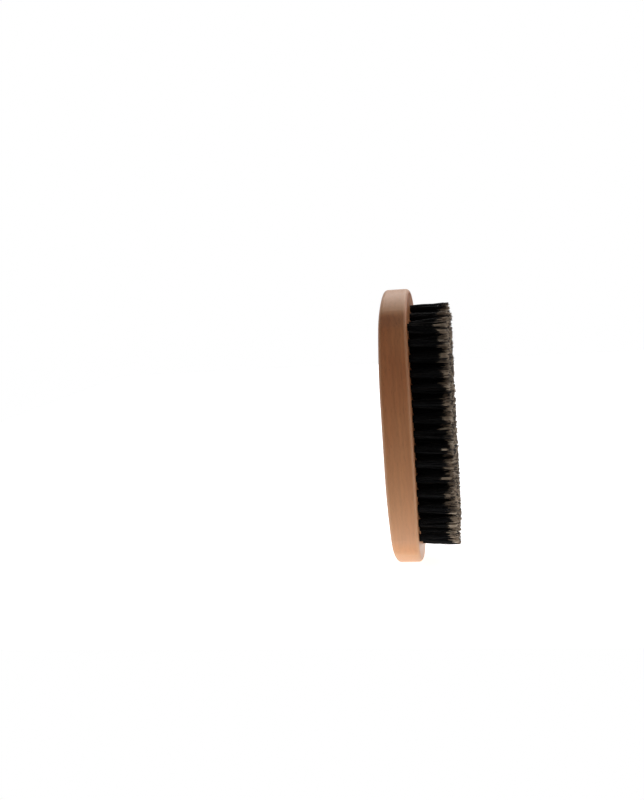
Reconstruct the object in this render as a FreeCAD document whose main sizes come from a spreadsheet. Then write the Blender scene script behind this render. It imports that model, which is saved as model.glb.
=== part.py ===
# Palm beard brush, standing on one end: one drilled wooden block, nine lengthwise rows
# of bristle tufts, and the flat wire anchor that holds each folded tuft in its hole.
#
# Frame, in millimetres: +Z along the brush, +X the way the bristles point, Y across the
# width. The origin is below the middle of the whole brush, at its lower end. Each body's
# own origin lies in the plane of the block's bristle face.
import FreeCAD, Part
import math
import os

import Sketcher

# Driving dimensions: alias, value (millimetres, degrees or a plain count) and meaning.
SIZES = [
    ("block_length", 128.0, "wooden block, end to end"),
    ("block_width", 49.0, "wooden block, side to side at the middle"),
    ("block_thickness", 13.8, "bristle face to back, at the middle"),
    ("side_bow", 0.8, "how far each long side bows out"),
    ("end_radius", 30.0, "arc across each end"),
    ("corner_radius", 11.0, "turn from a side into an end"),
    ("crown_land", 30.0, "flat length in the middle of the back"),
    ("crown_drop", 2.4, "how much thinner the block is at each end"),
    ("edge_radius", 1.8, "rounding all round both faces"),
    ("bristle_length", 17.0, "bristle face to bristle tips"),
    ("row_spacing", 4.88, "between neighbouring rows, across the width"),
    ("tuft_pitch", 6.85, "between tufts of one row, along the length"),
    ("outer_tufts", 15, "tufts in each of the two outermost rows"),
    ("second_tufts", 14, "tufts in each row next to an outermost one"),
    ("third_tufts", 15, "tufts in each row third from a side"),
    ("inner_tufts", 16, "tufts in each row beside the middle one"),
    ("middle_tufts", 17, "tufts in the middle row"),
    ("hole_diameter", 3.4, "blind hole for one tuft"),
    ("hole_depth", 8.5, "depth of the hole's full diameter"),
    ("drill_angle", 118.0, "point of the drill that made the holes, in degrees"),
    ("tip_diameter", 5.4, "tuft spread out at its tips"),
    ("tip_rounding", 0.9, "rounding of a tuft's outer end"),
    ("fold_depth", 0.8, "bristle folded under the anchor, and the rounding of the fold"),
    ("anchor_height", 2.0, "flat wire, its wide way, along the hole"),
    ("anchor_thickness", 0.4, "flat wire, its thin way"),
    ("anchor_bite", 0.3, "how far each end of an anchor bites into the wood"),
]

# Rows are numbered across the width, from -Y to +Y. The cell named first holds how many
# tufts each row of the group has. Counts go up or down by one from row to row, so that
# neighbouring rows are staggered, and the field of tufts is rounded like the block's ends.
ROW_COUNT = 9
MIDDLE_ROW = (ROW_COUNT + 1) // 2
ROW_GROUPS = {
    "outer_tufts": (1, 9),
    "second_tufts": (2, 8),
    "third_tufts": (3, 7),
    "inner_tufts": (4, 6),
    "middle_tufts": (5,),
}

# How far cutting sketches reach past the wood.
CLEAR = 5.0

# Where an anchor's two edges lie, measured along its hole from the bristle face.
ANCHOR_FLOOR = "(Sizes.fold_depth - Sizes.hole_depth)"
ANCHOR_TOP = f"({ANCHOR_FLOOR} + Sizes.anchor_height)"
ANCHOR_LENGTH = "(Sizes.hole_diameter + 2 * Sizes.anchor_bite)"

# A sketch's points and axes, by Sketcher's own numbers.
ORIGIN = (-1, 1)
VERTICAL_AXIS = -2
START, END, CENTRE = 1, 2, 3
NORMAL = FreeCAD.Vector(0, 0, 1)


def make_sheet(doc):
    sheet = doc.addObject("Spreadsheet::Sheet", "Sizes")
    for line, (alias, value, meaning) in enumerate(SIZES, start=1):
        sheet.set(f"A{line}", meaning)
        sheet.set(f"B{line}", str(value))
        sheet.setAlias(f"B{line}", alias)
    doc.recompute()


# ---- bodies and sketches -------------------------------------------------------------


def new_body(doc, label):
    body = doc.addObject("PartDesign::Body", label)
    body.Label = label
    face = "(Sizes.block_thickness - Sizes.bristle_length) / 2"
    body.setExpression("Placement.Base.x", face)
    return body


def new_row_body(doc, label, row):
    """A body whose own origin is at the mouth of the row's lowest hole."""
    body = new_body(doc, label)
    body.AllowCompound = True
    body.setExpression("Placement.Base.y", row_place(row))
    body.setExpression("Placement.Base.z", first_tuft(tuft_cell(row)))
    return body


def origin_feature(body, role):
    return next(f for f in body.Origin.OriginFeatures if f.Role == role)


def new_sketch(body, name, plane, offset=""):
    """A sketch on one of the body's own origin planes, moved along its normal by offset."""
    sketch = body.newObject("Sketcher::SketchObject", name)
    sketch.AttachmentSupport = [(origin_feature(body, plane), "")]
    sketch.MapMode = "FlatFace"
    if offset:
        sketch.setExpression("AttachmentOffset.Base.z", offset)
    return sketch


def value_of(sketch, expression):
    return float(sketch.evalExpression(expression))


def bind(sketch, kind, *where, to):
    """Adds a dimension to a sketch and ties it to an expression on the sheet."""
    value = value_of(sketch, to)
    index = sketch.addConstraint(Sketcher.Constraint(kind, *where, value))
    sketch.setExpression(f"Constraints[{index}]", to)


def place(sketch, piece, point, across, up):
    """Ties a point to two expressions, its coordinates in the sketch."""
    for kind, to in (("DistanceX", across), ("DistanceY", up)):
        if value_of(sketch, to) < 0:
            bind(sketch, kind, piece, point, *ORIGIN, to=f"-({to})")
        else:
            bind(sketch, kind, *ORIGIN, piece, point, to=to)


def join_loop(sketch, first, count, kind="Coincident"):
    """Joins the end of each piece of a loop to the start of the next."""
    for step in range(count):
        here = first + step
        following = first + (step + 1) % count
        sketch.addConstraint(Sketcher.Constraint(kind, here, END, following, START))


def vector(point):
    return FreeCAD.Vector(*point, 0)


def draw_polygon(sketch, corners):
    """A closed loop of straight lines, its corners given as pairs of expressions."""
    points = [vector(value_of(sketch, e) for e in corner) for corner in corners]
    first = sketch.GeometryCount
    for start, end in zip(points, points[1:] + points[:1]):
        sketch.addGeometry(Part.LineSegment(start, end))
    join_loop(sketch, first, len(points))
    for step, corner in enumerate(corners):
        place(sketch, first + step, START, *corner)


def arc_between(centre, start, end):
    """The arc anticlockwise about centre from start to end."""
    out = vector(start) - vector(centre)
    angles = [math.atan2(p[1] - centre[1], p[0] - centre[0]) for p in (start, end)]
    if angles[1] < angles[0]:
        angles[1] += 2 * math.pi
    return Part.ArcOfCircle(Part.Circle(vector(centre), NORMAL, out.Length), *angles)


# ---- where rows and tufts are --------------------------------------------------------


def tuft_cell(row):
    return next(cell for cell, rows in ROW_GROUPS.items() if row in rows)


def row_place(row):
    """A row's distance from the middle of the width, as an expression."""
    return f"{row - MIDDLE_ROW} * Sizes.row_spacing"


def first_tuft(cell):
    """How far up the block the lowest tuft of such a row is, as an expression."""
    return f"(Sizes.block_length - {row_length(cell)}) / 2"


def row_length(cell):
    """From a row's first tuft to its last, as an expression."""
    return f"(Sizes.{cell} - 1) * Sizes.tuft_pitch"


def repeat_along(body, features, cell):
    """Repeats a row's first hole, tuft or anchor along the row."""
    pattern = body.newObject("PartDesign::LinearPattern", "AlongRow")
    pattern.Originals = features
    pattern.Direction = (origin_feature(body, "Z_Axis"), [""])
    pattern.setExpression("Length", row_length(cell))
    pattern.setExpression("Occurrences", f"Sizes.{cell}")
    return pattern


# ---- the wooden block ----------------------------------------------------------------


def draw_side_view(sketch):
    """Length and thickness: a straight bristle face, and a back that is flat in the
    middle and falls away to both ends in arcs tangent to the flat."""
    length = value_of(sketch, "Sizes.block_length")
    back = -value_of(sketch, "Sizes.block_thickness")
    land = value_of(sketch, "Sizes.crown_land")
    drop = value_of(sketch, "Sizes.crown_drop")
    reach = (length - land) / 2
    radius = (reach**2 + drop**2) / (2 * drop)
    low, high = reach, length - reach
    corners = [(0, 0), (0, length), (back + drop, length), (back, high), (back, low), (back + drop, 0)]
    bottom, top, upper_end, land_top, land_foot, lower_end = corners
    sketch.addGeometry(Part.LineSegment(vector(bottom), vector(top)))
    sketch.addGeometry(Part.LineSegment(vector(top), vector(upper_end)))
    sketch.addGeometry(arc_between((back + radius, high), upper_end, land_top))
    sketch.addGeometry(Part.LineSegment(vector(land_top), vector(land_foot)))
    sketch.addGeometry(arc_between((back + radius, low), land_foot, lower_end))
    sketch.addGeometry(Part.LineSegment(vector(lower_end), vector(bottom)))
    face, head, upper_arc, flat, lower_arc, foot = range(len(corners))
    for piece, following in ((face, head), (head, upper_arc), (lower_arc, foot), (foot, face)):
        sketch.addConstraint(Sketcher.Constraint("Coincident", piece, END, following, START))
    for piece, following in ((upper_arc, flat), (flat, lower_arc)):
        sketch.addConstraint(Sketcher.Constraint("Tangent", piece, END, following, START))
    end_back = "-(Sizes.block_thickness - Sizes.crown_drop)"
    place(sketch, face, START, "0", "0")
    place(sketch, face, END, "0", "Sizes.block_length")
    place(sketch, upper_arc, START, end_back, "Sizes.block_length")
    place(sketch, foot, START, end_back, "0")
    place(sketch, flat, START, "-Sizes.block_thickness", "(Sizes.block_length + Sizes.crown_land) / 2")
    place(sketch, flat, END, "-Sizes.block_thickness", "(Sizes.block_length - Sizes.crown_land) / 2")


def blend_centre(side_centre, side_reach, end_centre, end_reach):
    """The upper right corner's centre, which is a known reach from two other centres."""
    across = vector(end_centre) - vector(side_centre)
    along = (side_reach**2 - end_reach**2 + across.Length**2) / (2 * across.Length)
    off = math.sqrt(side_reach**2 - along**2)
    across.normalize()
    foot = vector(side_centre) + across * along
    centre = foot + NORMAL.cross(across) * off
    return (centre.x, centre.y)


def toward(centre, point, distance):
    """The point at a distance from centre, in the direction of another point."""
    step = vector(point) - vector(centre)
    step.normalize()
    found = vector(centre) + step * distance
    return (found.x, found.y)


def draw_outline(sketch):
    """The outline seen from the bristles: bowed sides, wide arcs across the ends and
    tighter arcs in the corners, all tangent."""
    length, width, bow, end_radius, corner_radius = (
        value_of(sketch, f"Sizes.{alias}")
        for alias in ("block_length", "block_width", "side_bow", "end_radius", "corner_radius")
    )
    side_radius = ((length / 2) ** 2 + bow**2) / (2 * bow)
    side = (width / 2 - side_radius, length / 2)
    end = (0, length - end_radius)
    corner = blend_centre(side, side_radius - corner_radius, end, end_radius - corner_radius)
    leave_side = toward(side, corner, side_radius)
    join_end = toward(end, corner, end_radius)

    def left(point):
        return (-point[0], point[1])

    def low(point):
        return (point[0], length - point[1])

    def far(point):
        return left(low(point))

    # Anticlockwise from the right side: centre, start and end of each arc.
    arcs = [
        (side, low(leave_side), leave_side),
        (corner, leave_side, join_end),
        (end, join_end, left(join_end)),
        (left(corner), left(join_end), left(leave_side)),
        (left(side), left(leave_side), far(leave_side)),
        (far(corner), far(leave_side), far(join_end)),
        (low(end), far(join_end), low(join_end)),
        (low(corner), low(join_end), low(leave_side)),
    ]
    first = sketch.GeometryCount
    for centre, start, finish in arcs:
        sketch.addGeometry(arc_between(centre, start, finish))
    join_loop(sketch, first, len(arcs), "Tangent")
    right_side, _, upper_end, _, left_side, _, lower_end, _ = range(first, first + len(arcs))
    corners = range(first + 1, first + len(arcs), 2)
    bow_radius = "((Sizes.block_length / 2)^2 + Sizes.side_bow^2) / (2 * Sizes.side_bow)"
    side_offset = f"({bow_radius} - Sizes.block_width / 2)"
    place(sketch, right_side, CENTRE, f"-{side_offset}", "Sizes.block_length / 2")
    place(sketch, left_side, CENTRE, side_offset, "Sizes.block_length / 2")
    for piece in (right_side, left_side):
        bind(sketch, "Radius", piece, to=bow_radius)
    for piece in (upper_end, lower_end):
        sketch.addConstraint(Sketcher.Constraint("PointOnObject", piece, CENTRE, VERTICAL_AXIS))
        bind(sketch, "Radius", piece, to="Sizes.end_radius")
    bind(sketch, "DistanceY", *ORIGIN, lower_end, CENTRE, to="Sizes.end_radius")
    bind(sketch, "DistanceY", *ORIGIN, upper_end, CENTRE, to="Sizes.block_length - Sizes.end_radius")
    for piece in corners:
        bind(sketch, "Radius", piece, to="Sizes.corner_radius")


def face_edges(shape):
    """The names of the edges round the bristle face and the back. Every one is curved,
    and every other edge is straight."""
    return [
        f"Edge{number}"
        for number, edge in enumerate(shape.Edges, start=1)
        if not isinstance(edge.Curve, Part.Line)
    ]


def drill_rows(doc, block, cell, rows):
    """The blind holes of one row or a pair, each with a slot that an anchor's ends cut."""
    first, last = rows[0], rows[-1]
    across, up = row_place(first), first_tuft(cell)
    mouth = new_sketch(block, f"Mouth_{cell}", "YZ_Plane")
    centre = vector((value_of(mouth, across), value_of(mouth, up)))
    radius = value_of(mouth, "Sizes.hole_diameter / 2")
    mouth.addGeometry(Part.Circle(centre, NORMAL, radius))
    place(mouth, 0, CENTRE, across, up)
    bind(mouth, "Radius", 0, to="Sizes.hole_diameter / 2")
    doc.recompute()
    hole = block.newObject("PartDesign::Hole", f"Hole_{cell}")
    hole.Profile = mouth
    doc.recompute()
    hole.Threaded = False
    hole.DepthType = "Dimension"
    hole.DrillPoint = "Angled"
    hole.setExpression("Diameter", "Sizes.hole_diameter")
    hole.setExpression("Depth", "Sizes.hole_depth")
    hole.setExpression("DrillPointAngle", "Sizes.drill_angle")
    doc.recompute()
    cut = new_sketch(block, f"Slot_{cell}", "YZ_Plane", ANCHOR_TOP)
    sides = [f"{across} {sign} {ANCHOR_LENGTH} / 2" for sign in "-+"]
    edges = [f"{up} {sign} Sizes.anchor_thickness / 2" for sign in "-+"]
    left, right = sides
    low, high = edges
    draw_polygon(cut, [(left, low), (right, low), (right, high), (left, high)])
    slot = block.newObject("PartDesign::Pocket", f"AnchorSlot_{cell}")
    slot.Profile = cut
    slot.setExpression("Length", "Sizes.anchor_height")
    pattern = repeat_along(block, [hole, slot], cell)
    if last > first:
        pattern.Direction2 = (origin_feature(block, "Y_Axis"), [""])
        pattern.setExpression("Length2", f"{last - first} * Sizes.row_spacing")
        pattern.Occurrences2 = len(rows)
    block.Tip = pattern
    doc.recompute()


def make_block(doc):
    block = new_body(doc, "handle_block")
    side_view = new_sketch(block, "SideView", "XZ_Plane")
    draw_side_view(side_view)
    bar = block.newObject("PartDesign::Pad", "Bar")
    bar.Profile = side_view
    bar.Midplane = True
    bar.setExpression("Length", f"Sizes.block_width + {CLEAR}")
    doc.recompute()

    trimming = new_sketch(block, "Outline", "YZ_Plane", f"{CLEAR}")
    draw_outline(trimming)
    half = f"(Sizes.block_width / 2 + {CLEAR})"
    over = f"Sizes.block_length + {CLEAR}"
    draw_polygon(trimming, [(f"-{half}", f"-{CLEAR}"), (half, f"-{CLEAR}"), (half, over), (f"-{half}", over)])
    trim = block.newObject("PartDesign::Pocket", "Trim")
    trim.Profile = trimming
    trim.Type = "ThroughAll"
    doc.recompute()

    rounding = block.newObject("PartDesign::Fillet", "RoundedEdges")
    rounding.Base = (trim, face_edges(trim.Shape))
    rounding.setExpression("Radius", "Sizes.edge_radius")
    doc.recompute()

    for cell, rows in ROW_GROUPS.items():
        before = block.Shape.Volume
        drill_rows(doc, block, cell, rows)
        if block.Shape.Volume >= before:
            raise RuntimeError(f"the holes of {cell} cut nothing")
    return block


# ---- tufts and anchors ---------------------------------------------------------------


def rim_at(shape, place_along):
    """The name of the circular edge at a distance along the tuft from the hole's mouth."""
    return next(
        f"Edge{number}"
        for number, edge in enumerate(shape.Edges, start=1)
        if isinstance(edge.Curve, Part.Circle) and abs(edge.Curve.Center.x - place_along) < 1e-6
    )


def round_rim(doc, body, name, feature, place_along, radius):
    """Rounds one rim of a tuft."""
    rounding = body.newObject("PartDesign::Fillet", name)
    rounding.Base = (feature, [rim_at(feature.Shape, place_along)])
    rounding.setExpression("Radius", radius)
    doc.recompute()
    return rounding


def draw_anchor_side(sketch):
    """The flat wire seen from its end: its height along the hole, and its thickness."""
    half = "Sizes.anchor_thickness / 2"
    low, high = ANCHOR_FLOOR, ANCHOR_TOP
    draw_polygon(sketch, [(low, f"-{half}"), (high, f"-{half}"), (high, half), (low, half)])


def make_tufts(doc, row):
    """One row of tufts. Each is straight in its hole and spreads from the mouth to the
    tips, and its root is folded round an anchor, which leaves a slot through it."""
    body = new_row_body(doc, f"bristle_row_{row}", row)
    half = new_sketch(body, "HalfTuft", "XZ_Plane")
    root, tip = "Sizes.hole_diameter / 2", "Sizes.tip_diameter / 2"
    floor, end = "-Sizes.hole_depth", "Sizes.bristle_length"
    draw_polygon(half, [(floor, "0"), (end, "0"), (end, tip), ("0", root), (floor, root)])
    tuft = body.newObject("PartDesign::Revolution", "Tuft")
    tuft.Profile = half
    tuft.ReferenceAxis = (half, ["H_Axis"])
    tuft.Angle = 360
    doc.recompute()
    tips = round_rim(doc, body, "Tips", tuft, value_of(half, end), "Sizes.tip_rounding")
    round_rim(doc, body, "Fold", tips, value_of(half, floor), "Sizes.fold_depth")
    side = new_sketch(body, "AnchorSide", "XZ_Plane")
    draw_anchor_side(side)
    slot = body.newObject("PartDesign::Pocket", "AnchorSlot")
    slot.Profile = side
    slot.Midplane = True
    slot.Type = "ThroughAll"
    repeat_body(doc, body, tuft_cell(row))
    return body


def make_anchors(doc, row):
    """One row of anchors, each a cut length of flat wire lying across its hole."""
    body = new_row_body(doc, f"anchor_row_{row}", row)
    side = new_sketch(body, "AnchorSide", "XZ_Plane")
    draw_anchor_side(side)
    wire = body.newObject("PartDesign::Pad", "Wire")
    wire.Profile = side
    wire.Midplane = True
    wire.setExpression("Length", ANCHOR_LENGTH)
    repeat_body(doc, body, tuft_cell(row))
    return body


def repeat_body(doc, body, cell):
    """Repeats everything in a row's body along the row, as separate solids."""
    doc.recompute()
    pattern = repeat_along(body, [], cell)
    pattern.TransformMode = "Whole shape"
    body.Tip = pattern
    doc.recompute()


# ---- the brush -----------------------------------------------------------------------


def check(doc, bodies):
    """Stops if any object failed, or a body is empty, invalid or short of solids."""
    failed = [o.Label for o in doc.Objects if {"Invalid", "Error"} & set(o.State)]
    if failed:
        raise RuntimeError(f"these objects failed: {failed}")
    for body, solids in bodies.items():
        shape = body.Shape
        if shape.isNull() or not shape.isValid() or len(shape.Solids) != solids:
            raise RuntimeError(f"{body.Label} isn't {solids} sound solids")


def main():
    doc = FreeCAD.newDocument("beard_brush")
    make_sheet(doc)
    counts = {alias: value for alias, value, _ in SIZES}
    bodies = {make_block(doc): 1}
    for row in range(1, ROW_COUNT + 1):
        tufts = counts[tuft_cell(row)]
        bodies[make_tufts(doc, row)] = tufts
        bodies[make_anchors(doc, row)] = tufts
    doc.recompute()
    check(doc, bodies)
    os.makedirs("parts", exist_ok=True)
    for body in bodies:
        body.Shape.exportStep(f"parts/{body.Label}.step")


main()
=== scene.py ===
import math

import bpy
import numpy as np
from mathutils import Matrix, Vector


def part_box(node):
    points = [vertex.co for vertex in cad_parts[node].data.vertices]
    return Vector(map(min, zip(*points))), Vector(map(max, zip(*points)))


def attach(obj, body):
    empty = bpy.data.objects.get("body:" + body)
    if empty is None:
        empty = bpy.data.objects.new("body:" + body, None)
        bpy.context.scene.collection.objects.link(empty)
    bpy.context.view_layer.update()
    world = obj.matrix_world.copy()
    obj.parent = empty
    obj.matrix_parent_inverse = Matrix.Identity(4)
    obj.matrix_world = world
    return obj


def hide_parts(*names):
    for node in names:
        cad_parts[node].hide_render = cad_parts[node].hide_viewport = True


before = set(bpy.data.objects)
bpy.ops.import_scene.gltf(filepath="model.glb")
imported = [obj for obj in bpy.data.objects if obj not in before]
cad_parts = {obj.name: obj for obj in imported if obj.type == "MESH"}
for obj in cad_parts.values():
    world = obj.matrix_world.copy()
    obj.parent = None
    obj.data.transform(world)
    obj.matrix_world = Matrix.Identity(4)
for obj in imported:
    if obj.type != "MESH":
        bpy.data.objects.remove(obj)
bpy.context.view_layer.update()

MM = 0.001
BODY = "root"
ROWS = range(1, 10)

# ---------------------------------------------------------------- camera
CAMERA_AT = Vector((40.9, -482.3, 150.5)) * MM
CAMERA_AIM = Vector((-44.69, -5.11, 79.13)) * MM
CAMERA_ROLL = math.radians(4.02)
CAMERA_LENS = 47.25
SENSOR = 36.0


def make_camera():
    """A camera to one side of the brush, a little above it, rolled so that the brush leans."""
    data = bpy.data.cameras.new("camera")
    data.lens = CAMERA_LENS
    data.sensor_width = SENSOR
    data.clip_start = 0.01
    data.clip_end = 50.0
    camera = bpy.data.objects.new("camera", data)
    bpy.context.collection.objects.link(camera)
    forward = (CAMERA_AIM - CAMERA_AT).normalized()
    level_right = forward.cross(Vector((0, 0, 1))).normalized()
    level_up = level_right.cross(forward)
    up = level_up * math.cos(CAMERA_ROLL) + level_right * math.sin(CAMERA_ROLL)
    right = forward.cross(up)
    turn = Matrix((right, up, -forward)).transposed().to_4x4()
    camera.matrix_world = Matrix.Translation(CAMERA_AT) @ turn
    bpy.context.scene.camera = camera


# ---------------------------------------------------------------- node helpers
def new_material(name):
    """An empty node material with its Principled shader."""
    material = bpy.data.materials.new(name)
    material.use_nodes = True
    tree = material.node_tree
    tree.nodes.clear()
    out = tree.nodes.new("ShaderNodeOutputMaterial")
    shader = tree.nodes.new("ShaderNodeBsdfPrincipled")
    tree.links.new(shader.outputs["BSDF"], out.inputs["Surface"])
    return material, tree, shader


class Nodes:
    """Short calls for building a node tree."""

    def __init__(self, tree):
        self.tree = tree

    def put(self, socket, value):
        if isinstance(value, bpy.types.NodeSocket):
            self.tree.links.new(value, socket)
        else:
            socket.default_value = value

    def node(self, kind, **settings):
        made = self.tree.nodes.new(kind)
        for name, value in settings.items():
            setattr(made, name, value)
        return made

    def coords(self):
        return self.node("ShaderNodeTexCoord").outputs["Object"]

    def mapping(self, vector, scale=(1, 1, 1), location=(0, 0, 0), rotation=(0, 0, 0)):
        made = self.node("ShaderNodeMapping")
        self.put(made.inputs["Vector"], vector)
        made.inputs["Location"].default_value = location
        made.inputs["Rotation"].default_value = rotation
        made.inputs["Scale"].default_value = scale
        return made.outputs["Vector"]

    def split(self, vector):
        made = self.node("ShaderNodeSeparateXYZ")
        self.put(made.inputs[0], vector)
        return made.outputs

    def noise(self, vector, scale, detail=2.0, roughness=0.5):
        made = self.node("ShaderNodeTexNoise")
        self.put(made.inputs["Vector"], vector)
        made.inputs["Scale"].default_value = scale
        made.inputs["Detail"].default_value = detail
        made.inputs["Roughness"].default_value = roughness
        return made.outputs["Fac"]

    def remap(self, value, low, high, to_low=0.0, to_high=1.0, smooth=True):
        made = self.node("ShaderNodeMapRange")
        made.interpolation_type = "SMOOTHSTEP" if smooth else "LINEAR"
        self.put(made.inputs["Value"], value)
        made.inputs["From Min"].default_value = low
        made.inputs["From Max"].default_value = high
        made.inputs["To Min"].default_value = to_low
        made.inputs["To Max"].default_value = to_high
        return made.outputs["Result"]

    def maths(self, operation, a, b=0.0):
        made = self.node("ShaderNodeMath", operation=operation)
        self.put(made.inputs[0], a)
        self.put(made.inputs[1], b)
        return made.outputs[0]

    def mix(self, amount, a, b):
        made = self.node("ShaderNodeMix", data_type="RGBA")
        self.put(made.inputs["Factor"], amount)
        self.put(made.inputs["A"], a if not isinstance(a, tuple) else (*a, 1.0))
        self.put(made.inputs["B"], b if not isinstance(b, tuple) else (*b, 1.0))
        return made.outputs["Result"]

    def bump(self, height, strength, distance):
        made = self.node("ShaderNodeBump")
        self.put(made.inputs["Height"], height)
        made.inputs["Strength"].default_value = strength
        made.inputs["Distance"].default_value = distance
        return made.outputs["Normal"]


# ---------------------------------------------------------------- wood
WOOD_PALE = (0.57, 0.232, 0.094)
WOOD_MID = (0.51, 0.180, 0.066)
WOOD_DEEP = (0.31, 0.110, 0.040)
# rounded edges: paler partly as real wear and partly as a painted sheen
WOOD_EDGE_WEAR_AND_SHEEN = (0.60, 0.315, 0.175)
# painted floor-bounce light: the lower part of the block paler and yellower
WOOD_BOUNCE_LIT = (0.62, 0.350, 0.175)
# painted sheen on the faces at both ends of the block
WOOD_END_SHEEN = (0.60, 0.345, 0.180)
BOUNCE_FROM = 0.005  # heights between which the painted floor-bounce light, a paler and yellower wood, fades out
BOUNCE_TO = 0.100
BOUNCE_MOST = 0.50  # how much of a colour is mixed in where it is strongest
END_SHEEN_MOST = 0.50
RING_DARK = 0.20
STREAK_DARK = 0.42
FLECK_DARK = 0.35
PORE_DARK = 0.55
FIBRE_PALE = 0.22
PITH = (0.055, 0.018, 0.0)  # moves the growth rings' centre to well behind the block
PITH_TILT = (0.02, 0.035, 0.0)
PORE_DEPTH = 0.00004


def wood_rings(n, place):
    """Growth rings about a line behind the block, so that they run along it."""
    wander = n.noise(n.mapping(place, scale=(1, 1, 0.22)), 45.0, 3.0)
    axis = n.mapping(place, location=PITH, rotation=PITH_TILT)
    push = n.node("ShaderNodeCombineXYZ")
    n.put(push.inputs["X"], n.remap(wander, 0.0, 1.0, -0.004, 0.004, smooth=False))
    n.put(push.inputs["Y"], n.remap(wander, 0.0, 1.0, 0.003, -0.003, smooth=False))
    shifted = n.node("ShaderNodeVectorMath", operation="ADD")
    n.put(shifted.inputs[0], axis)
    n.put(shifted.inputs[1], push.outputs["Vector"])
    rings = n.node("ShaderNodeTexWave", wave_type="RINGS", rings_direction="Z")
    n.put(rings.inputs["Vector"], shifted.outputs["Vector"])
    rings.inputs["Scale"].default_value = 150.0
    rings.inputs["Distortion"].default_value = 5.0
    rings.inputs["Detail"].default_value = 3.0
    rings.inputs["Detail Scale"].default_value = 1.2
    return n.remap(rings.outputs["Fac"], 0.35, 0.95)


def wood_material():
    """Close-grained hardwood: growth rings, fine lengthwise pores, flecks, rounded edges rubbed
    paler with a painted sheen, a painted sheen on the ends and painted floor-bounce light
    towards the lower end.
    """
    material, tree, shader = new_material("wood_oiled")
    n = Nodes(tree)
    place = n.coords()
    rings = wood_rings(n, place)

    # fibres, pores and flecks, all drawn out along the brush
    fibre = n.noise(n.mapping(place, scale=(1, 1, 0.03)), 2600.0, 3.0, 0.6)
    streak = n.noise(n.mapping(place, scale=(1, 1, 0.045)), 520.0, 4.0, 0.55)
    pore = n.noise(n.mapping(place, scale=(1, 1, 0.10)), 3600.0, 1.0, 0.5)
    pores = n.remap(pore, 0.63, 0.72)
    fleck = n.noise(n.mapping(place, scale=(1, 1, 0.16)), 1500.0, 1.0, 0.4)
    flecks = n.remap(fleck, 0.64, 0.74)
    cloud = n.noise(n.mapping(place, scale=(1, 1, 0.5)), 60.0, 2.0, 0.5)

    colour = n.mix(n.remap(cloud, 0.3, 0.7), WOOD_MID, WOOD_PALE)
    colour = n.mix(n.maths("MULTIPLY", rings, RING_DARK), colour, WOOD_DEEP)
    colour = n.mix(n.remap(streak, 0.35, 0.75, 0.0, STREAK_DARK), colour, WOOD_DEEP)
    colour = n.mix(n.remap(fibre, 0.35, 0.7, FIBRE_PALE, 0.0), colour, WOOD_PALE)
    colour = n.mix(n.maths("MULTIPLY", flecks, FLECK_DARK), colour, WOOD_DEEP)
    colour = n.mix(n.maths("MULTIPLY", pores, PORE_DARK), colour, WOOD_DEEP)

    # the rounded long edges are rubbed paler, partly as wear and partly as a painted sheen
    normal = n.split(n.node("ShaderNodeNewGeometry").outputs["Normal"])
    tilt = n.maths("ABSOLUTE", normal["X"])
    rounded = n.maths(
        "MULTIPLY", n.remap(tilt, 0.10, 0.55), n.remap(tilt, 0.80, 0.985, 1.0, 0.0)
    )
    wear_and_sheen = n.maths("MULTIPLY", rounded, n.remap(streak, 0.25, 0.65, 0.65, 0.30))
    colour = n.mix(wear_and_sheen, colour, WOOD_EDGE_WEAR_AND_SHEEN)

    # painted floor-bounce light, yellower and paler towards the lower end, and a painted sheen,
    # paler where the surface faces up or down at the ends
    height = n.split(place)["Z"]
    colour = n.mix(n.remap(height, BOUNCE_FROM, BOUNCE_TO, BOUNCE_MOST, 0.0), colour, WOOD_BOUNCE_LIT)
    # painted sheen: paler where the surface faces up or down
    end_sheen = n.maths("ABSOLUTE", normal["Z"])
    end_sheen = n.maths("ADD", end_sheen, n.remap(streak, 0.2, 0.8, -0.05, 0.05, smooth=False))
    colour = n.mix(n.remap(end_sheen, 0.45, 0.80, 0.0, END_SHEEN_MOST), colour, WOOD_END_SHEEN)
    n.put(shader.inputs["Base Color"], colour)

    rough = n.remap(fibre, 0.3, 0.7, 0.36, 0.52)
    rough = n.maths("ADD", rough, n.maths("MULTIPLY", pores, 0.15))
    n.put(shader.inputs["Roughness"], rough)
    relief = n.maths("SUBTRACT", n.maths("MULTIPLY", fibre, 0.5), pores)
    n.put(shader.inputs["Normal"], n.bump(relief, 0.35, PORE_DEPTH))
    shader.inputs["Coat Weight"].default_value = 0.20
    shader.inputs["Coat Roughness"].default_value = 0.28
    shader.inputs["IOR"].default_value = 1.48
    return material


# ---------------------------------------------------------------- anchors
STEEL_BRIGHT = (0.62, 0.61, 0.59)
STEEL_DULL = (0.44, 0.42, 0.40)
DRAW_LINE_DEPTH = 0.00001


def wire_material():
    """Drawn flat steel wire with fine draw lines and a little dulling."""
    material, tree, shader = new_material("anchor_wire_drawn")
    n = Nodes(tree)
    place = n.coords()
    lines = n.noise(n.mapping(place, scale=(1.0, 0.05, 1.0)), 9000.0, 2.0, 0.5)
    dull = n.noise(place, 900.0, 3.0, 0.6)
    n.put(shader.inputs["Base Color"], n.mix(n.remap(dull, 0.35, 0.7), STEEL_BRIGHT, STEEL_DULL))
    shader.inputs["Metallic"].default_value = 1.0
    n.put(shader.inputs["Roughness"], n.remap(lines, 0.3, 0.7, 0.28, 0.48))
    n.put(shader.inputs["Normal"], n.bump(lines, 0.2, DRAW_LINE_DEPTH))
    return material


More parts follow.
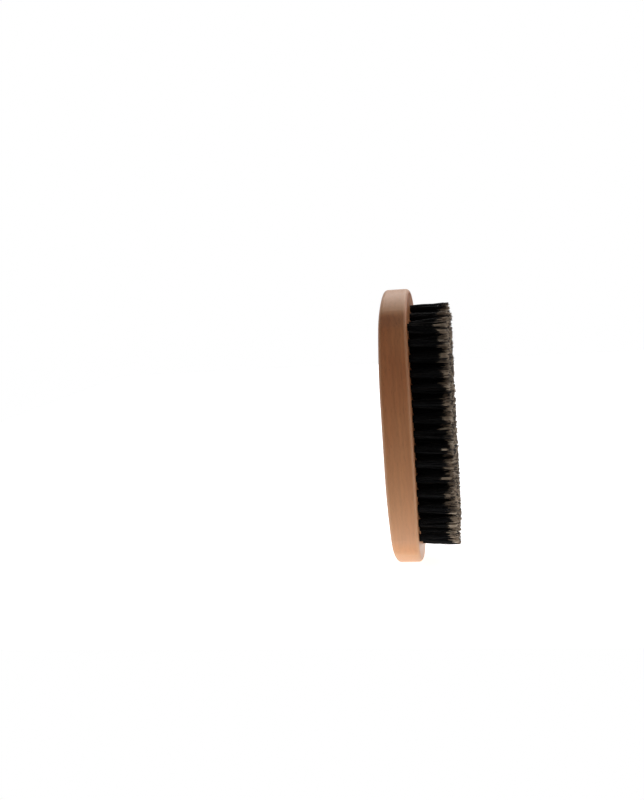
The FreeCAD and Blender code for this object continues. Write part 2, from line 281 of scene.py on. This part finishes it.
# ---------------------------------------------------------------- bristle colours
# Shades are dealt out hair by hair. A hair is dark for most of its length; some turn tan
# near the tip and some stay brown or black to the end.
SHAFT_COLOURS = (
    (0.0038, 0.0038, 0.0042),
    (0.0060, 0.0051, 0.0045),
    (0.0036, 0.0041, 0.0056),
    (0.0140, 0.0110, 0.0085),
)
SHAFT_SHARES = (0.48, 0.26, 0.20, 0.06)
TURN_COLOURS = ((0.030, 0.020, 0.013), (0.085, 0.060, 0.040))
DARK_TIP_COLOURS = ((0.006, 0.005, 0.005), (0.022, 0.015, 0.010), (0.060, 0.041, 0.027))
DARK_TIP_SHARES = (0.45, 0.35, 0.20)
PALE_TIP_COLOURS = (
    (0.47, 0.37, 0.275),
    (0.31, 0.235, 0.170),
    (0.19, 0.138, 0.095),
    (0.64, 0.53, 0.41),
)
PALE_TIP_SHARES = (0.40, 0.27, 0.20, 0.13)
HAIR_IOR = 1.50
# each group's name and shades, its roughness, how much rougher each next shade is, and
# its specular level, in the order of the material slots
HAIR_GROUPS = (
    ("shaft", SHAFT_COLOURS, 0.40, 0.05, 0.13),
    ("turn", TURN_COLOURS, 0.50, 0.0, 0.4),
    ("dark_tip", DARK_TIP_COLOURS, 0.55, 0.0, 0.3),
    ("pale_tip", PALE_TIP_COLOURS, 0.65, 0.0, 0.3),
)

# where each group of hair materials starts among a row's material slots
FIRST_TURN = len(SHAFT_COLOURS)
FIRST_DARK_TIP = FIRST_TURN + len(TURN_COLOURS)
FIRST_PALE_TIP = FIRST_DARK_TIP + len(DARK_TIP_COLOURS)


def hair_material(name, colour, roughness, level):
    """One plain hair shade."""
    material, tree, shader = new_material(name)
    shader.inputs["Base Color"].default_value = (*colour, 1.0)
    shader.inputs["Roughness"].default_value = roughness
    shader.inputs["IOR"].default_value = HAIR_IOR
    shader.inputs["Specular IOR Level"].default_value = level
    return material


def hair_materials():
    """Every hair shade, in the order of the material slots."""
    made = []
    for group, colours, roughness, rougher, level in HAIR_GROUPS:
        for i, colour in enumerate(colours):
            name = f"bristle_{group}_{i}"
            made.append(hair_material(name, colour, roughness + rougher * i, level))
    return made


# ---------------------------------------------------------------- bristle
# All lengths here are in millimetres.
FACE_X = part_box("handle_block")[1].x / MM
TIP_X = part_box("bristle_row_5")[1].x / MM

# how tufts stand on the face
PITCH = 6.85  # between tufts of one row
SEED = 7000
HALF_FIELD_WIDTH = 19.5  # from the middle of the field to the outermost row
HALF_FIELD_LENGTH = 55.0
LEAN_Y = 0.7  # how far the tips of the outermost rows lean outwards
LEAN_Z = 0.4  # how far the tips at both ends lean down
LEAN_Z_BIAS = 0.5  # more of that at the upper end, and so much less at the lower
LEAN_JITTER_Y = 0.25
LEAN_JITTER_Z = 0.28

# one tuft's hairs
HAIRS = 84  # each is folded double, which makes two strands
BASE_RADIUS = 1.56  # of the tuft at the mouth of its hole
BASE_JITTER = 0.04
SPREAD = 1.92  # how many times as wide the tuft is at its tips
BEND = 0.9
FOLD_X = -9.3  # where the hairs are folded, near the floor of the hole
ANCHOR_CLEAR = 0.33  # least distance between a strand's centre line and the anchor's middle
PROUD = 0.75  # how far a hair of full length ends beyond the tuft of the CAD model
LENGTH_JITTER = 0.22
DOME = 0.030  # shortens a tuft's outer hairs, by the square of their distance
KINK = 0.14  # how far a hair wanders sideways
KINK_NEAR_TIP = 0.08
STRAY_SHARE = 0.02  # share of hairs that leave their clump
STRAY_SPREAD = 0.7

# the clumps that a tuft's tips gather in
CLUMPS = 14
CLUMP_REACH = 3.0
CLUMP_PULL = (0.30, 0.60)  # how far a tip moves towards the middle of its clump
CLUMP_LOOSE = 0.13
CLUMP_SHORT = 0.45  # how much shorter a clump is, on average
CLUMP_SHORT_MOST = 1.4
CLUMP_TIP_SHAPE = 4.5  # shape and scale of the spread in pale lengths
CLUMP_TIP_SCALE = 0.72
CLUMP_TIP_MOST = 4.6
CLUMP_SHADE = 0.75  # share of hairs that take their clump's own shade
PALE_CLUMPS = 0.70
DARK_ENDS = 0.15  # share of clumps whose pale length ends dark

# a hair's pale tip, the turn of colour before it, and its end
TIP_JITTER = 0.35
TIP_LEAST = 0.9
TURN_RANGE = (0.2, 1.0)
END_RANGE = (0.25, 0.5)
ODD_PALE = 0.05  # shares of hairs that differ from their clump
ODD_END = 0.08

# the tube made of each strand
RINGS = 8
SIDES = 3
ROOT_RADIUS = 0.112
TIP_RADIUS = 0.078
THINNEST, THICKEST = 0.82, 1.22


def hair_places(rng):
    """Where a tuft's folded hairs pass through the mouth of its hole."""
    count = HAIRS * 2
    index = np.arange(count) + 0.5
    radius = np.sqrt(index / count) * BASE_RADIUS
    golden = math.pi * (3.0 - math.sqrt(5.0))
    angle = index * golden + rng.uniform(0, 2 * math.pi)
    y = radius * np.cos(angle) + rng.normal(0, BASE_JITTER, count)
    z = radius * np.sin(angle) + rng.normal(0, BASE_JITTER, count)
    return y, z


def tuft_paths(centre_y, centre_z, rim_y, rim_z, rng):
    """One tuft's hairs: their centre lines, and the materials along each.

    rim_y and rim_z run from -1 to 1 across the field and along it."""
    y0, z0 = hair_places(rng)
    total = y0.size
    lean_y = LEAN_Y * np.sign(rim_y) * abs(rim_y) ** 3 + rng.normal(0, LEAN_JITTER_Y)
    lean_z = -(LEAN_Z + LEAN_Z_BIAS * np.sign(rim_z)) * abs(rim_z) ** 6
    lean_z += rng.normal(0, LEAN_JITTER_Z)

    # tips gather in clumps
    clump_r = np.sqrt(rng.uniform(0, 1, CLUMPS)) * CLUMP_REACH
    clump_a = rng.uniform(0, 2 * math.pi, CLUMPS)
    clump_y, clump_z = clump_r * np.cos(clump_a), clump_r * np.sin(clump_a)
    pale_clump = rng.uniform(0, 1, CLUMPS) < PALE_CLUMPS
    clump_short = np.minimum(rng.exponential(CLUMP_SHORT, CLUMPS), CLUMP_SHORT_MOST)
    clump_tip = rng.gamma(CLUMP_TIP_SHAPE, CLUMP_TIP_SCALE, CLUMPS)
    clump_tip = np.minimum(clump_tip, CLUMP_TIP_MOST)
    clump_shade = rng.choice(len(PALE_TIP_COLOURS), CLUMPS, p=PALE_TIP_SHARES)
    clump_end = rng.uniform(0, 1, CLUMPS) < DARK_ENDS
    y1, z1 = y0 * SPREAD, z0 * SPREAD
    gaps = (y1[:, None] - clump_y) ** 2 + (z1[:, None] - clump_z) ** 2
    own = np.argmin(gaps, axis=1)
    pull = rng.uniform(*CLUMP_PULL, total)
    y1 += (clump_y[own] - y1) * pull + rng.normal(0, CLUMP_LOOSE, total)
    z1 += (clump_z[own] - z1) * pull + rng.normal(0, CLUMP_LOOSE, total)
    stray = rng.uniform(0, 1, total) < STRAY_SHARE
    y1 += np.where(stray, rng.normal(0, STRAY_SPREAD, total), 0.0)
    z1 += np.where(stray, rng.normal(0, STRAY_SPREAD, total), 0.0)

    # where along each hair its rings lie: root, mouth, two kinks, and the changes of shade
    length = TIP_X - FACE_X + PROUD - clump_short[own]
    length = length + rng.normal(0, LENGTH_JITTER, total)
    length -= DOME * (y1**2 + z1**2)
    tip = np.maximum(clump_tip[own] + rng.normal(0, TIP_JITTER, total), TIP_LEAST)
    turn = rng.uniform(*TURN_RANGE, total)
    end = rng.uniform(*END_RANGE, total) * tip
    steps = np.stack(
        (
            np.zeros(total),
            np.zeros(total),
            np.full(total, 0.30),
            np.full(total, 0.60),
            1.0 - (tip + turn) / length,
            1.0 - tip / length,
            1.0 - end / length,
            np.ones(total),
        ),
        axis=1,
    )
    bend = steps**BEND
    path = np.zeros((total, RINGS, 3))
    path[:, :, 0] = FACE_X + steps * length[:, None]
    path[:, :, 1] = centre_y + y0[:, None] + (y1 + lean_y - y0)[:, None] * bend
    path[:, :, 2] = centre_z + z0[:, None] + (z1 + lean_z - z0)[:, None] * bend
    path[:, 2:4, 1:] += rng.normal(0, KINK, (total, 2, 2))
    path[:, 4, 1:] += rng.normal(0, KINK_NEAR_TIP, (total, 2))

    # straight down the hole, past the anchor's flat, to where the hair folds
    side = np.where(z0 > 0, 1.0, -1.0)
    path[:, 0, 0] = FOLD_X
    path[:, 0, 1] = centre_y + y0
    path[:, 0, 2] = centre_z + side * np.maximum(abs(z0), ANCHOR_CLEAR)
    return path, hair_shades(own, pale_clump, clump_shade, clump_end, rng)


def hair_shades(own, pale_clump, clump_shade, clump_end, rng):
    """The material of each hair's shaft, turn, pale length and end."""
    total = own.size
    shaft = rng.choice(len(SHAFT_COLOURS), total, p=SHAFT_SHARES)
    turn = FIRST_TURN + rng.integers(0, len(TURN_COLOURS), total)
    dark = FIRST_DARK_TIP + rng.choice(len(DARK_TIP_COLOURS), total, p=DARK_TIP_SHARES)
    odd = rng.choice(len(PALE_TIP_COLOURS), total, p=PALE_TIP_SHARES)
    alike = rng.uniform(0, 1, total) < CLUMP_SHADE
    pale = FIRST_PALE_TIP + np.where(alike, clump_shade[own], odd)
    is_pale = pale_clump[own] ^ (rng.uniform(0, 1, total) < ODD_PALE)
    dark_end = clump_end[own] ^ (rng.uniform(0, 1, total) < ODD_END)
    return np.stack(
        (
            shaft,
            np.where(is_pale, turn, shaft),
            np.where(is_pale, pale, dark),
            np.where(is_pale & ~dark_end, pale, dark),
        ),
        axis=1,
    )


def row_hairs(row, rng):
    """The centre lines and shades of every hair in a row. Tufts stand as in the CAD model."""
    low, high = (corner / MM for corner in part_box(f"bristle_row_{row}"))
    centre_y = (low.y + high.y) / 2
    tuft_radius = (high.y - low.y) / 2
    first, last = low.z + tuft_radius, high.z - tuft_radius
    count = round((last - first) / PITCH) + 1
    middle = (first + last) / 2
    rim_y = centre_y / HALF_FIELD_WIDTH
    tufts = []
    for z in np.linspace(first, last, count):
        rim_z = (z - middle) / HALF_FIELD_LENGTH
        tufts.append(tuft_paths(centre_y, z, rim_y, rim_z, rng))
    return (np.concatenate(column) for column in zip(*tufts))


def tube_points(paths, rng):
    """The rings of points round each hair's centre line."""
    total = len(paths)
    along = np.gradient(paths, axis=1)
    along /= np.linalg.norm(along, axis=2, keepdims=True)
    side = np.cross(along, (0.0, 0.0, 1.0))
    side /= np.linalg.norm(side, axis=2, keepdims=True)
    other = np.cross(along, side)
    taper = np.linspace(ROOT_RADIUS, TIP_RADIUS, RINGS)[None, :, None]
    radii = taper * rng.uniform(THINNEST, THICKEST, (total, 1, 1))
    spin = rng.uniform(0, 2 * math.pi, (total, 1, 1))
    points = np.zeros((total, RINGS, SIDES, 3))
    for s in range(SIDES):
        angle = spin + s * 2 * math.pi / SIDES
        points[:, :, s] = paths + radii * (np.cos(angle) * side + np.sin(angle) * other)
    return points


def row_mesh(row, rng):
    """One mesh of every hair in a row, each a closed three-sided tube."""
    paths, bands = row_hairs(row, rng)
    points = tube_points(paths, rng)

    start = (np.arange(len(paths)) * RINGS * SIDES)[:, None]
    ring = start[:, :, None] + (np.arange(RINGS - 1) * SIDES)[None, :, None]
    here = ring + np.arange(SIDES)
    after = ring + (np.arange(SIDES) + 1) % SIDES
    quads = np.stack((here, after, after + SIDES, here + SIDES), -1).reshape(-1, 4)
    inner = start + np.arange(SIDES)[::-1]
    outer = start + (RINGS - 1) * SIDES + np.arange(SIDES)

    shaft_rings = np.repeat(bands[:, :1], RINGS - 4, axis=1)
    along_hair = np.concatenate((shaft_rings, bands[:, 1:]), axis=1)
    shades = np.concatenate((np.repeat(along_hair, SIDES), bands[:, 0], bands[:, -1]))

    mesh = bpy.data.meshes.new(f"bristles_{row}")
    faces = quads.tolist() + inner.tolist() + outer.tolist()
    mesh.from_pydata((points.reshape(-1, 3) * MM).tolist(), [], faces)
    mesh.polygons.foreach_set("material_index", shades)
    smooth = np.ones(len(faces), bool)
    smooth[len(quads):] = False
    mesh.polygons.foreach_set("use_smooth", smooth)
    mesh.update()
    return mesh


def make_bristles():
    """The hairs of each row, in place of that row's plain tufts."""
    materials = hair_materials()
    for row in ROWS:
        mesh = row_mesh(row, np.random.default_rng(SEED + row))
        for material in materials:
            mesh.materials.append(material)
        piece = bpy.data.objects.new(f"bristles_{row}", mesh)
        bpy.context.collection.objects.link(piece)
        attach(piece, BODY)
        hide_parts(f"bristle_row_{row}")


def dress_cad():
    """Gives the CAD nodes that stay their materials."""
    wood = wood_material()
    wire = wire_material()
    for name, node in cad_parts.items():
        if name == "handle_block":
            material = wood
        elif name.startswith("anchor_row_"):
            material = wire
        else:
            continue
        for slot in node.material_slots:
            slot.material = material


# ---------------------------------------------------------------- stage
FLOOR_FRONT = -0.11
FLOOR_SIDE = 0.45
FLOOR_BACK = 0.80
FLOOR_PALE = (0.93, 0.93, 0.93)
FLOOR_PALER = (0.95, 0.95, 0.95)
FLOOR_GLOW = 0.8

FILL_AT = Vector((-0.02, -0.048, 0.005))
FILL_AIM = Vector((-0.01, 0.0, 0.005))
FILL_SIZE = (0.06, 0.006)
FILL_POWER = 0.003

OVERHEAD_WAY = Vector((0.12, 0.52, 0.85))
OVERHEAD = 1.8
SIDE_DIM, SIDE_BRIGHT = 0.26, 0.8  # all round the horizon, and behind the brush
RIGHT = 0.28


def make_floor():
    """A plain pale floor that glows a little. It ends a little way in front of the brush."""
    mesh = bpy.data.meshes.new("floor")
    corners = [
        (-FLOOR_SIDE, FLOOR_FRONT, 0),
        (FLOOR_SIDE, FLOOR_FRONT, 0),
        (FLOOR_SIDE, FLOOR_BACK, 0),
        (-FLOOR_SIDE, FLOOR_BACK, 0),
    ]
    mesh.from_pydata(corners, [], [(0, 1, 2, 3)])
    floor = bpy.data.objects.new("floor", mesh)
    bpy.context.collection.objects.link(floor)
    material, tree, shader = new_material("floor_pale")
    n = Nodes(tree)
    grain = n.noise(n.coords(), 30.0)
    n.put(shader.inputs["Base Color"], n.mix(grain, FLOOR_PALE, FLOOR_PALER))
    shader.inputs["Roughness"].default_value = 0.9
    shader.inputs["Specular IOR Level"].default_value = 0.0
    shader.inputs["Emission Color"].default_value = (1, 1, 1, 1)
    shader.inputs["Emission Strength"].default_value = FLOOR_GLOW
    mesh.materials.append(material)


def make_low_fill():
    """A small soft light at the foot of the brush, on the side that the camera sees."""
    data = bpy.data.lights.new("low_fill", "AREA")
    data.shape = "RECTANGLE"
    data.size, data.size_y = FILL_SIZE
    data.energy = FILL_POWER
    light = bpy.data.objects.new("low_fill", data)
    bpy.context.collection.objects.link(light)
    light.location = FILL_AT
    light.rotation_euler = (FILL_AIM - FILL_AT).to_track_quat("-Z", "Y").to_euler()
    light.visible_camera = False


def make_world():
    """Soft light from overhead, from behind and from the right, and none from below.

    The camera sees a plain white backdrop."""
    world = bpy.data.worlds.new("studio")
    bpy.context.scene.world = world
    world.use_nodes = True
    n = Nodes(world.node_tree)
    towards = n.node("ShaderNodeTexCoord").outputs["Generated"]
    way = n.split(towards)
    lean = n.node("ShaderNodeVectorMath", operation="DOT_PRODUCT")
    n.put(lean.inputs[0], towards)
    n.put(lean.inputs[1], OVERHEAD_WAY.normalized())
    overhead = n.remap(lean.outputs["Value"], 0.87, 0.90, 0.0, OVERHEAD)
    behind = n.remap(way["Y"], 0.0, 0.6, SIDE_DIM, SIDE_BRIGHT)
    right = n.remap(way["X"], 0.1, 0.8, 0.0, RIGHT)
    above = n.remap(way["Z"], -0.02, 0.02)
    around = n.maths("MULTIPLY", n.maths("ADD", behind, right), above)
    strength = n.maths("ADD", overhead, around)
    seen = n.node("ShaderNodeLightPath").outputs["Is Camera Ray"]
    shade = world.node_tree.nodes["Background"]
    shade.inputs["Color"].default_value = (1, 1, 1, 1)
    n.put(shade.inputs["Strength"], n.maths("MAXIMUM", strength, seen))


make_camera()
dress_cad()
make_bristles()
make_floor()
make_world()
make_low_fill()
bpy.context.scene.view_settings.view_transform = "Standard"
